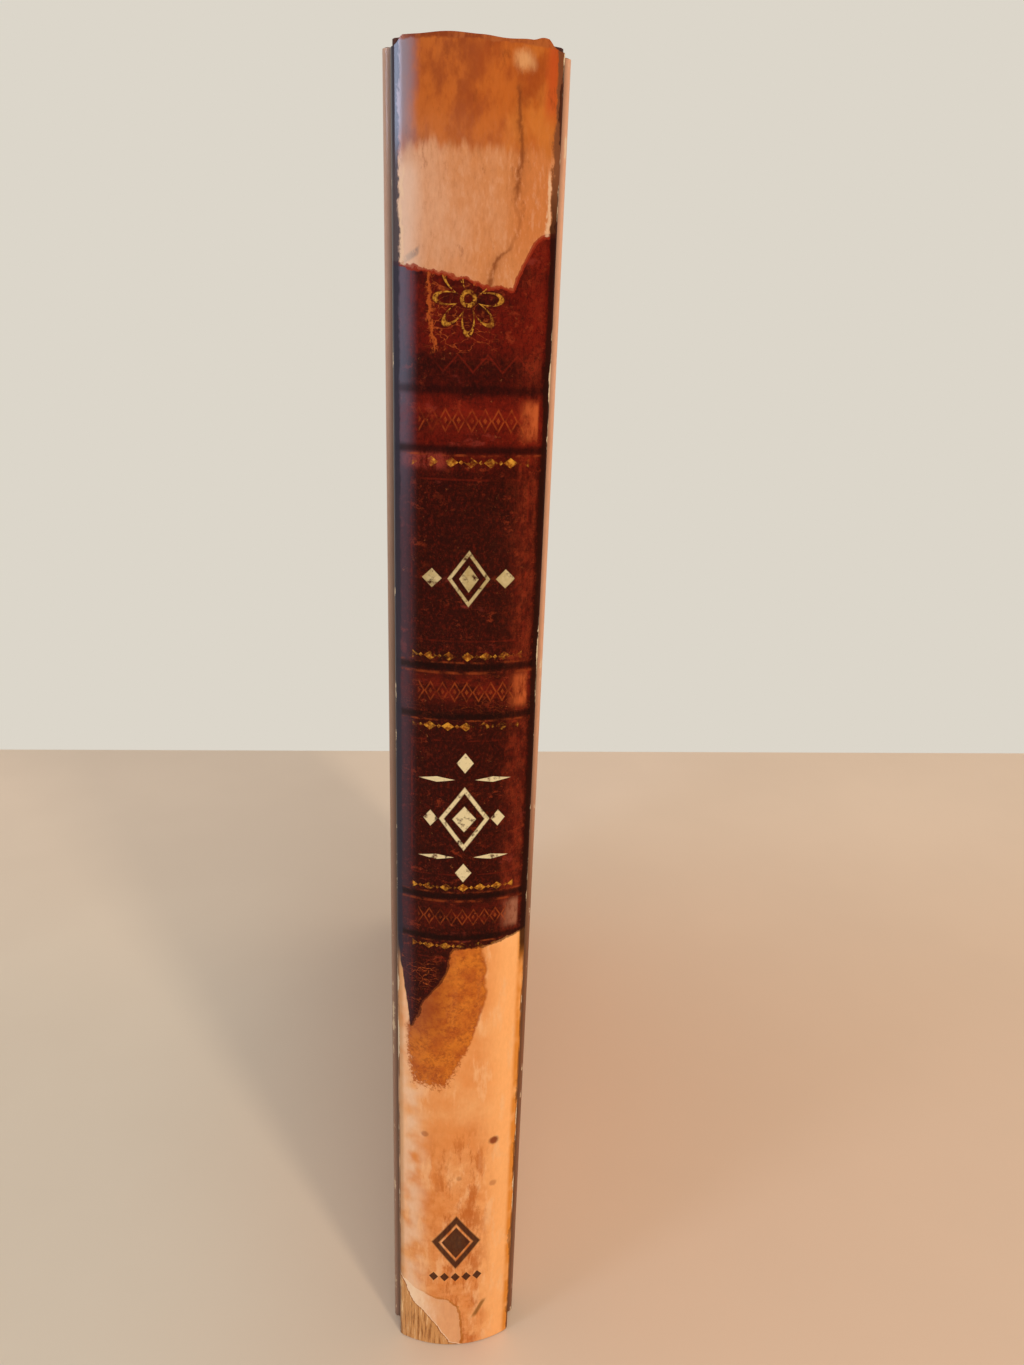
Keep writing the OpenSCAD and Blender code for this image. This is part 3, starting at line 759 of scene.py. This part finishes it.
threadRed = makeClothMaterial("threadRed", "9a3428", "5c1a14", 4)
threadCream = makeClothMaterial("threadCream", "eadfc4", "b8a57c", 4)
say("materials are made")


def toMode(mode):
    bpy.ops.object.mode_set(mode=mode)


def selectAll():
    bpy.ops.mesh.select_all(action="SELECT")


def leaveEdit():
    if bpy.context.object and bpy.context.object.mode != "OBJECT":
        toMode("OBJECT")
    bpy.ops.object.select_all(action="DESELECT")


def pick(*pieces):  # selects just these pieces, and makes the first one active
    leaveEdit()
    for piece in pieces:
        piece.select_set(True)
    bpy.context.view_layer.objects.active = pieces[0]


def keep(kind, test):  # in edit mode, selects the points, edges or faces that pass the test
    data = bpy.context.object.data
    bpy.context.tool_settings.mesh_select_mode = (kind == "points", kind == "edges", kind == "faces")
    mesh = bmesh.from_edit_mesh(data)
    mesh.select_mode = {{"points": "VERT", "edges": "EDGE", "faces": "FACE"}[kind]}
    for part in (*mesh.faces, *mesh.edges, *mesh.verts):
        part.select = False
    if kind == "points":
        for point in mesh.verts:
            point.select = test(*inMm(point.co))
    elif kind == "edges":
        for edge in mesh.edges:
            ends = [Vector(inMm(point.co)) for point in edge.verts]
            edge.select = test(*((ends[0] + ends[1]) / 2), ends[1] - ends[0])
    else:
        for face in mesh.faces:
            face.select = test(*inMm(face.calc_center_median()), face.normal)
    mesh.select_flush_mode()
    bmesh.update_edit_mesh(data)


def inMm(co):
    return co.x / mm, (co.y - frontY) / mm, co.z / mm


def startPoint(name, place):  # a plane merged to one point, from which a section is drawn
    leaveEdit()
    bpy.ops.mesh.primitive_plane_add(size=mm)
    piece = bpy.context.object
    piece.name = name
    toMode("EDIT")
    selectAll()
    bpy.ops.mesh.merge(type="CENTER")
    bpy.ops.transform.translate(value=place)
    return piece


def drawBy(x, depth, steps=1):
    for step in range(steps):
        move = Vector((x / steps, depth / steps, 0)) * mm
        bpy.ops.mesh.extrude_region_move(TRANSFORM_OT_translate={"value": move})


def drawRound(x, depth, z, degrees, steps, way=-1, copies=False):  # carries what is picked on round a centre
    bpy.ops.mesh.spin(
        steps=steps, angle=math.radians(degrees), dupli=copies, center=at(x, depth, z), axis=(0, 0, way)
    )


def raiseSection(height, cuts):
    selectAll()
    bpy.ops.mesh.extrude_region_move(TRANSFORM_OT_translate={"value": Vector((0, 0, height)) * mm})
    if cuts:
        keep("edges", lambda x, y, z, along: abs(along.z) > 0.5 * height)
        bpy.ops.mesh.subdivide(number_cuts=cuts)


def faceOut(x, depth, side):  # turns the sheet so that its face at x, depth and half height looks to side
    mesh = bmesh.from_edit_mesh(bpy.context.object.data)
    mesh.normal_update()
    spot = at(x, depth, 117)
    face = min(mesh.faces, key=lambda f: (f.calc_center_median() - spot).length)
    if face.normal.dot(Vector(side)) < 0:
        selectAll()
        bpy.ops.mesh.flip_normals()


def applyModifier(piece, kind, **settings):
    modifier = piece.modifiers.new(kind.lower(), kind)
    for title, value in settings.items():
        setattr(modifier, title, value)
    bpy.context.view_layer.objects.active = piece
    bpy.ops.object.modifier_apply(modifier=modifier.name)


def thicken(piece, sheet, **settings):
    applyModifier(piece, "SOLIDIFY", thickness=sheet * mm, offset=-1, use_even_offset=True, **settings)


def finishPiece(piece, materials, smooth=40):
    pick(piece)
    bpy.ops.object.transform_apply(location=True, rotation=True, scale=True)
    bpy.ops.object.shade_smooth_by_angle(angle=math.radians(smooth))
    if materials:
        piece.data.materials.clear()
        for material in materials:
            piece.data.materials.append(material)


def keepRestPlace(piece):  # notes each point's place at rest, for patterns on sheets that bend
    data = piece.data
    notes = data.attributes.get("restPlace") or data.attributes.new("restPlace", "FLOAT_VECTOR", "POINT")
    for note, point in zip(notes.data, data.vertices):
        note.vector = point.co


def copyMirrored(piece, name):  # the same sheet for the back cover
    pick(piece)
    bpy.ops.object.duplicate()
    twin = bpy.context.object
    twin.name = name
    toMode("EDIT")
    selectAll()
    bpy.ops.transform.mirror(constraint_axis=(True, False, False), center_override=(0, 0, 0))
    bpy.ops.mesh.flip_normals()
    toMode("OBJECT")
    keepRestPlace(twin)
    return twin


jacketLow, jacketHigh = lowHigh("jacket_spine")
coverHigh = lowHigh("jacket_front")[1]
jacket = dict(
    halfWidth=jacketHigh.x, rise=3, edgeRadius=1.1, crease=jacketHigh.y, sheet=0.2, tail=jacketLow.z,
    head=coverHigh.z, outerX=coverHigh.x, shoulder=7.06, back=coverHigh.y, foldRadius=0.9, flapX=8.99,
    flap=90, creaseX=11.22, creaseY=6.42, soften=Vector((0.06, 0.02)), softenFrom=0.12, waves=0.25,
    waveSize=45, headRaise=0.45, headSpread=0.9, headFrom=-9.9, headTo=9.3, bumpHalf=0.35,
    headBumps=(
        (8.6, 0.4, 1.6), (-11.4, -0.75, 1.5), (11, -0.3, 1.2), (3.4, -0.2, 3), (-4, 0.2, 4),
    ),
)


def paperWaves(piece, group, strength, size):  # slow waves across a sheet, along its own normals
    clouds = bpy.data.textures.new(piece.name + "Waves", "CLOUDS")
    clouds.noise_scale = size * mm
    clouds.noise_depth = 1
    applyModifier(
        piece, "DISPLACE", texture=clouds, strength=strength * mm, mid_level=0, vertex_group=group,
        texture_coords="GLOBAL",
    )


def liftHead(look, test, height, reach):  # pulls the head's edge up where x passes the test
    keep("points", lambda x, y, z: test(x) and z > look["head"] - 0.1)
    bpy.ops.transform.translate(
        value=(0, 0, height * mm), use_proportional_edit=True, proportional_size=reach * mm,
        proportional_edit_falloff="SMOOTH",
    )


def makeJacketSpine(look):
    wide, radius = look["halfWidth"], look["edgeRadius"]
    spineRadius = (wide ** 2 + look["rise"] ** 2) / (2 * look["rise"])
    cornerX = wide - radius
    cornerY = spineRadius - math.sqrt((spineRadius - radius) ** 2 - cornerX ** 2)
    half = math.degrees(math.asin(cornerX / (spineRadius - radius)))
    piece = startPoint("jacketSpine", at(-wide, look["crease"], look["tail"]))
    drawBy(0, cornerY - look["crease"])
    drawRound(-cornerX, cornerY, look["tail"], 90 - half, 8)
    drawRound(0, spineRadius, look["tail"], 2 * half, 60)
    drawRound(cornerX, cornerY, look["tail"], 90 - half, 8)
    drawBy(0, look["crease"] - cornerY)
    raiseSection(look["head"] - look["tail"], 150)
    faceOut(0, 0, (0, -1, 0))
    liftHead(look, lambda x: look["headFrom"] < x < look["headTo"], look["headRaise"], look["headSpread"])
    for middle, lift, reach in look["headBumps"]:
        liftHead(look, lambda x: abs(x - middle) < look["bumpHalf"], lift, reach)
    toMode("OBJECT")
    thicken(piece, look["sheet"], material_offset=1, material_offset_rim=2)
    finishPiece(piece, [jacketSpinePrint, jacketReverse, jacketEdge])
    keepRestPlace(piece)
    return piece


def makeJacketCover(look):
    radius = look["foldRadius"]
    toShoulder = Vector((look["outerX"] - look["creaseX"], look["shoulder"] - look["creaseY"]))
    turn = math.atan2(toShoulder.x, toShoulder.y)
    toShoulder -= toShoulder.normalized() * radius * math.tan(turn / 2)
    boardStart = look["shoulder"] + radius * math.tan(turn / 2)
    piece = startPoint("jacketFront", at(look["halfWidth"], look["crease"], look["tail"]))
    drawBy(look["creaseX"] - look["halfWidth"], look["creaseY"] - look["crease"] - look["softenFrom"])
    soften = look["soften"]
    drawBy(soften.x, soften.y + look["softenFrom"])
    drawBy(toShoulder.x - soften.x, toShoulder.y - soften.y, 5)
    outerX, foldDepth = look["outerX"] - radius, look["back"] - radius
    drawRound(outerX, boardStart, look["tail"], math.degrees(turn), 8)
    drawBy(0, foldDepth - boardStart, 30)
    drawRound(outerX, foldDepth, look["tail"], 90, 8)
    drawBy(look["flapX"] + radius - outerX, 0)
    drawRound(look["flapX"] + radius, foldDepth, look["tail"], 90, 8)
    drawBy(0, radius - look["flap"], 20)
    raiseSection(look["head"] - look["tail"], 60)
    faceOut(look["outerX"], 80, (1, 0, 0))
    keep("faces", lambda x, y, z, normal: x > look["outerX"] - 0.01 and 20 < y < 150 and 8 < z < 227)
    bpy.ops.object.vertex_group_add()
    bpy.ops.object.vertex_group_assign()
    toMode("OBJECT")
    paperWaves(piece, "Group", look["waves"], look["waveSize"])
    thicken(piece, look["sheet"], material_offset=1, material_offset_rim=2)
    finishPiece(piece, [jacketCoverPrint, jacketReverse, jacketEdge])
    keepRestPlace(piece)
    return piece


jacketSpine = makeJacketSpine(jacket)
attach(jacketSpine, "block")
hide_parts("jacket_spine")

jacketFront = makeJacketCover(jacket)
jacketBack = copyMirrored(jacketFront, "jacketBack")
for piece, node, body, side in (
    (jacketFront, "jacket_front", "front_cover", 1), (jacketBack, "jacket_back", "back_cover", -1)
):
    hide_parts(node)
    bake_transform(piece)
say("jacket is made")


blockLow, blockHigh = lowHigh("text_block")
leaves = dict(
    count=136, pitch=0.128, sheet=0.112, width=152.4, tail=blockLow.z, head=blockHigh.z, half=8.7,
    shoulder=1.85, hollow=2, roundRadius=20.786, roundCentre=23.046,
    cuts=(0.05, 0.15, 0.3, 0.5, 0.8, 1.2, 1.85), uneven=0.05,
)


def circleDepth(radius, x):  # how far a round falls back at half width x
    return radius - math.sqrt(radius ** 2 - x ** 2)


def makeLeaves(look):
    leaveEdit()
    fold = look["roundCentre"] - look["roundRadius"]
    first = -look["pitch"] * (look["count"] - 1) / 2
    middle = at(first, fold + look["width"] / 2, (look["tail"] + look["head"]) / 2)
    bpy.ops.mesh.primitive_cube_add(size=1, location=middle)
    piece = bpy.context.object
    piece.name = "leaves"
    toMode("EDIT")
    size = Vector((look["sheet"], look["width"], look["head"] - look["tail"])) * mm
    bpy.ops.transform.resize(value=size, center_override=middle)
    for cut in look["cuts"]:
        selectAll()
        bpy.ops.mesh.bisect(plane_co=at(0, fold + cut, 0), plane_no=(0, 1, 0))
    toMode("OBJECT")
    points = len(piece.data.vertices)
    applyModifier(
        piece, "ARRAY", count=look["count"], use_relative_offset=False, use_constant_offset=True,
        constant_offset_displace=(look["pitch"] * mm, 0, 0),
    )
    toMode("EDIT")
    spread = look["shoulder"] / look["half"]
    for cut in (0,) + look["cuts"][:-1]:  # backing: the folds fan out over the joints
        fan = 1 - math.sqrt(1 - ((look["shoulder"] - cut) / look["shoulder"]) ** 2)
        keep("points", lambda x, y, z: abs(y - fold - cut) < 0.02)
        bpy.ops.transform.resize(value=(1 + spread * fan, 1, 1), center_override=(0, 0, 0))
    hollowRadius = (look["half"] ** 2 + look["hollow"] ** 2) / (2 * look["hollow"])
    data = piece.data
    for leaf in range(look["count"]):  # rounding: each leaf is pushed back, at its fold and at the fore-edge
        x = first + leaf * look["pitch"]
        toFold = circleDepth(look["roundRadius"], x * (1 + spread))
        toFore = circleDepth(hollowRadius, x) + random.uniform(-1, 1) * look["uneven"]
        lift = random.uniform(-1, 0) * look["uneven"]
        mesh = bmesh.from_edit_mesh(data)
        mesh.verts.ensure_lookup_table()
        for front, depth in ((True, toFold), (False, toFore)):
            bpy.ops.mesh.select_all(action="DESELECT")
            for number in range(leaf * points, leaf * points + points):
                point = mesh.verts[number]
                point.select = (inMm(point.co)[1] < 80) == front
            mesh.select_flush_mode()
            bpy.ops.transform.translate(value=(0, depth * mm, lift * mm))
    finishPiece(piece, [leafPaper], 20)
    return piece


pageBlock = makeLeaves(leaves)
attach(pageBlock, "block")
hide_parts("text_block")
say("leaves are made")


# headband and tailband: a woven tape with a bead of wrapped threads
band = dict(
    radius=21.076, centre=23.046, halfWidth=10.55, tape=0.25, tapeHeight=12, bead=0.75, proud=0.15,
    thread=0.2, wraps=26, core=0.42, twist=14,
)


def finishTurned(piece, material, smooth=40):  # faces what was carried round outwards
    selectAll()
    bpy.ops.mesh.normals_make_consistent(inside=False)
    finishPiece(piece, [material], smooth)


def makeBand(name, look, tapeZ, beadZ):
    reach = math.degrees(math.asin(look["halfWidth"] / look["radius"]))
    ring = look["radius"] + look["proud"] - look["bead"]
    step = 2 * reach / (2 * look["wraps"] - 1)
    tape = startPoint(
        name, at(-look["halfWidth"], look["centre"] - look["radius"] * math.cos(math.radians(reach)), 0),
    )
    drawRound(0, look["centre"], 0, 2 * reach, 32)
    raiseSection(abs(beadZ - tapeZ), 0)
    selectAll()
    bpy.ops.transform.translate(value=(0, 0, min(beadZ, tapeZ) * mm))
    mesh = bmesh.from_edit_mesh(tape.data)
    if sum(face.normal.y for face in mesh.faces) > 0:
        bpy.ops.mesh.flip_normals()
    toMode("OBJECT")
    thicken(tape, look["tape"])
    finishPiece(tape, [bandTape])

    def onRing(degrees, twist=0):
        angle = math.radians(degrees)
        spot = at(ring * math.sin(angle), look["centre"] - ring * math.cos(angle), beadZ)
        return dict(location=spot, rotation=(math.radians(twist), math.radians(90), angle))

    made = [tape]
    for turn, material in enumerate((threadRed, threadCream)):
        leaveEdit()
        bpy.ops.mesh.primitive_torus_add(
            major_segments=12, minor_segments=6, major_radius=(look["bead"] - look["thread"]) * mm,
            minor_radius=look["thread"] * mm, **onRing(-reach + (turn + 0.25) * step, look["twist"]),
        )
        made.append(bpy.context.object)
        toMode("EDIT")
        selectAll()
        drawRound(0, look["centre"], beadZ, 2 * step * (look["wraps"] - 1), look["wraps"] - 1, copies=True)
        finishTurned(made[-1], material, 60)
    leaveEdit()
    bpy.ops.mesh.primitive_circle_add(vertices=12, radius=look["core"] * mm, **onRing(-reach))
    made.append(bpy.context.object)
    toMode("EDIT")
    selectAll()
    drawRound(0, look["centre"], beadZ, 2 * reach, 30)
    selectAll()
    bpy.ops.mesh.edge_face_add()
    finishTurned(made[-1], bandTape)
    pick(*made)
    bpy.ops.object.join()
    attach(tape, "block")
    return tape


beadGap = 0.04 + band["bead"]
headband = makeBand("headbandWoven", band, leaves["head"] - band["tapeHeight"], leaves["head"] + beadGap)
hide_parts("headband")
tailband = makeBand("tailbandWoven", band, leaves["tail"] + band["tapeHeight"], leaves["tail"] - beadGap)
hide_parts("tailband")
say("headband and tailband are made")


# glued endpapers, which cross the joints
paste = dict(
    x=lowHigh("front_pastedown")[0].x, sheet=0.15, tail=leaves["tail"], head=leaves["head"], fore=156.66,
    flareX=10.55, flareY=6.986, flare=1.64, flareTurn=86, board=7.6,
)


def makePastedown(look):
    piece = startPoint("pastedownFront", at(look["flareX"], look["flareY"] - look["flare"], look["tail"]))
    drawRound(look["flareX"], look["flareY"], look["tail"], look["flareTurn"], 12, 1)
    reach = look["flareX"] - look["flare"] * math.sin(math.radians(look["flareTurn"]))
    drawBy(look["x"] - reach, look["board"] - look["flareY"] + 0.1, 6)
    for run in (2, 10, 40, 40, look["fore"] - look["board"] - 92):
        drawBy(0, run)
    raiseSection(look["head"] - look["tail"], 12)
    faceOut(look["x"], 80, (-1, 0, 0))
    toMode("OBJECT")
    thicken(piece, look["sheet"])
    finishPiece(piece, [gluedPaper])
    keepRestPlace(piece)
    return piece


pastedownFront = makePastedown(paste)
pastedownBack = copyMirrored(pastedownFront, "pastedownBack")
for piece, node, body, side in (
    (pastedownFront, "front_pastedown", "front_cover", 1), (pastedownBack, "back_pastedown", "back_cover", -1)
):
    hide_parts(node)
    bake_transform(piece)
say("endpapers are made")


# CAD nodes that keep their shape
finishes = {
    "spine_super": superCloth, "front_super_wing": superCloth, "back_super_wing": superCloth,
    "spine_liner": kraftLiner, "spine_inlay": boardGrey, "front_board": boardGrey, "back_board": boardGrey,
    "case_spine": casePaper, "front_case_cover": casePaper, "back_case_cover": casePaper,
    "front_flyleaf": endPaper, "back_flyleaf": endPaper,
}
for name, material in finishes.items():
    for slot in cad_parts[name].material_slots:
        slot.material = material
say("case, boards and linings have their finish")


stage = dict(
    floorLeft="e2d2ba", floorRight="e0c1a3", floorFar="f4dcc2", floorStain="c4ac94", wall="dcd6ca",
    wallDepth=306, world=0.37, worldTone="f4f1ec",
)
lamps = dict(  # place, aim, size, power, tone, and whether glossy things show it
    window=((-0.5, -0.36, 0.4), (0, -0.07, 0.22), (0.13, 0.17), 0.75, "d0dfff", True),
    key=((0.56, -0.97, 0.5), (0, 0, 0.1), (0.12, 0.12), 5, "fff0de", False),
    softbox=((0.1, -0.95, 0.9), (0, 0, 0.1), (0.8, 0.8), 3.3, "fffaf4", True),
    ceiling=((-0.2, 0.05, 1.4), (0, 0, 0), (1.2, 1.2), 4.2, "f6f8ff", True),
    fill=((0.8, 0.5, 0.7), (0, 0, 0.1), (0.9, 0.9), 2.2, "ffe2c4", True),
)


def makeStage(look):
    leaveEdit()
    bpy.ops.mesh.primitive_plane_add(size=3.0, location=(0, 0, 0))
    floor = bpy.context.object
    floor.name = "floor"
    material = startMaterial("floorPaint", look, Roughness=0.7)
    x, depth = partPlace()[:2]
    blotch = paper(0.5, 0.006)[1]
    # painted light on the floor: a warm glow towards the right, and paler further back
    colour = layer("floorLeft", "floorRight", fade(x, -90, 50))
    colour = layer(colour, "floorFar", fade(depth, 60, 280), 0.7)
    dress(material, layer(colour, "floorStain", blotch, 0.15))
    floor.data.materials.append(material)
    bpy.ops.mesh.primitive_plane_add(
        size=3.0, location=at(0, look["wallDepth"], 1500), rotation=(math.radians(90), 0, 0),
    )
    wall = bpy.context.object
    wall.name = "wall"
    material = startMaterial("wallPaint", look)
    material.node_tree.nodes.clear()
    glow = addNode("Emission", {"Color": "wall"}).outputs[0]
    clear = addNode("BsdfTransparent").outputs[0]
    rays = addNode("LightPath").outputs
    front = minus(1.0, addNode("NewGeometry").outputs["Backfacing"])
    seen = either(rays["Is Camera Ray"], rays["Is Glossy Ray"], rays["Is Transmission Ray"])
    mix = addNode("MixShader", {0: both(seen, front), 1: clear, 2: glow})
    addNode("OutputMaterial", {"Surface": mix.outputs[0]})
    wall.data.materials.append(material)
    world = bpy.data.worlds.new("room")
    scene.world = world
    world.use_nodes = True
    drawing["tree"] = world.node_tree
    light = world.node_tree.nodes["Background"]
    feed(light.inputs["Color"], "worldTone")
    feed(light.inputs["Strength"], look["world"])
    seen = addNode("Background", {"Color": "wall"}).outputs[0]
    camera = addNode("LightPath").outputs["Is Camera Ray"]
    mix = addNode("MixShader", {0: camera, 1: light.outputs[0], 2: seen})
    feed(world.node_tree.nodes["World Output"].inputs["Surface"], mix.outputs[0])


def addLamp(name, spot, aim, size, power, tone, glossy):
    data = bpy.data.lights.new(name, "AREA")
    data.shape = "RECTANGLE"
    data.size, data.size_y = size
    data.energy = power
    data.color = tint(tone)[:3]
    lamp = bpy.data.objects.new(name, data)
    scene.collection.objects.link(lamp)
    lamp.location = spot
    lamp.rotation_euler = (Vector(aim) - Vector(spot)).to_track_quat("-Z", "Y").to_euler()
    lamp.visible_camera = False
    lamp.visible_glossy = glossy


makeStage(stage)
for name, settings in lamps.items():
    addLamp(name, *settings)
say("stage and lights are set")
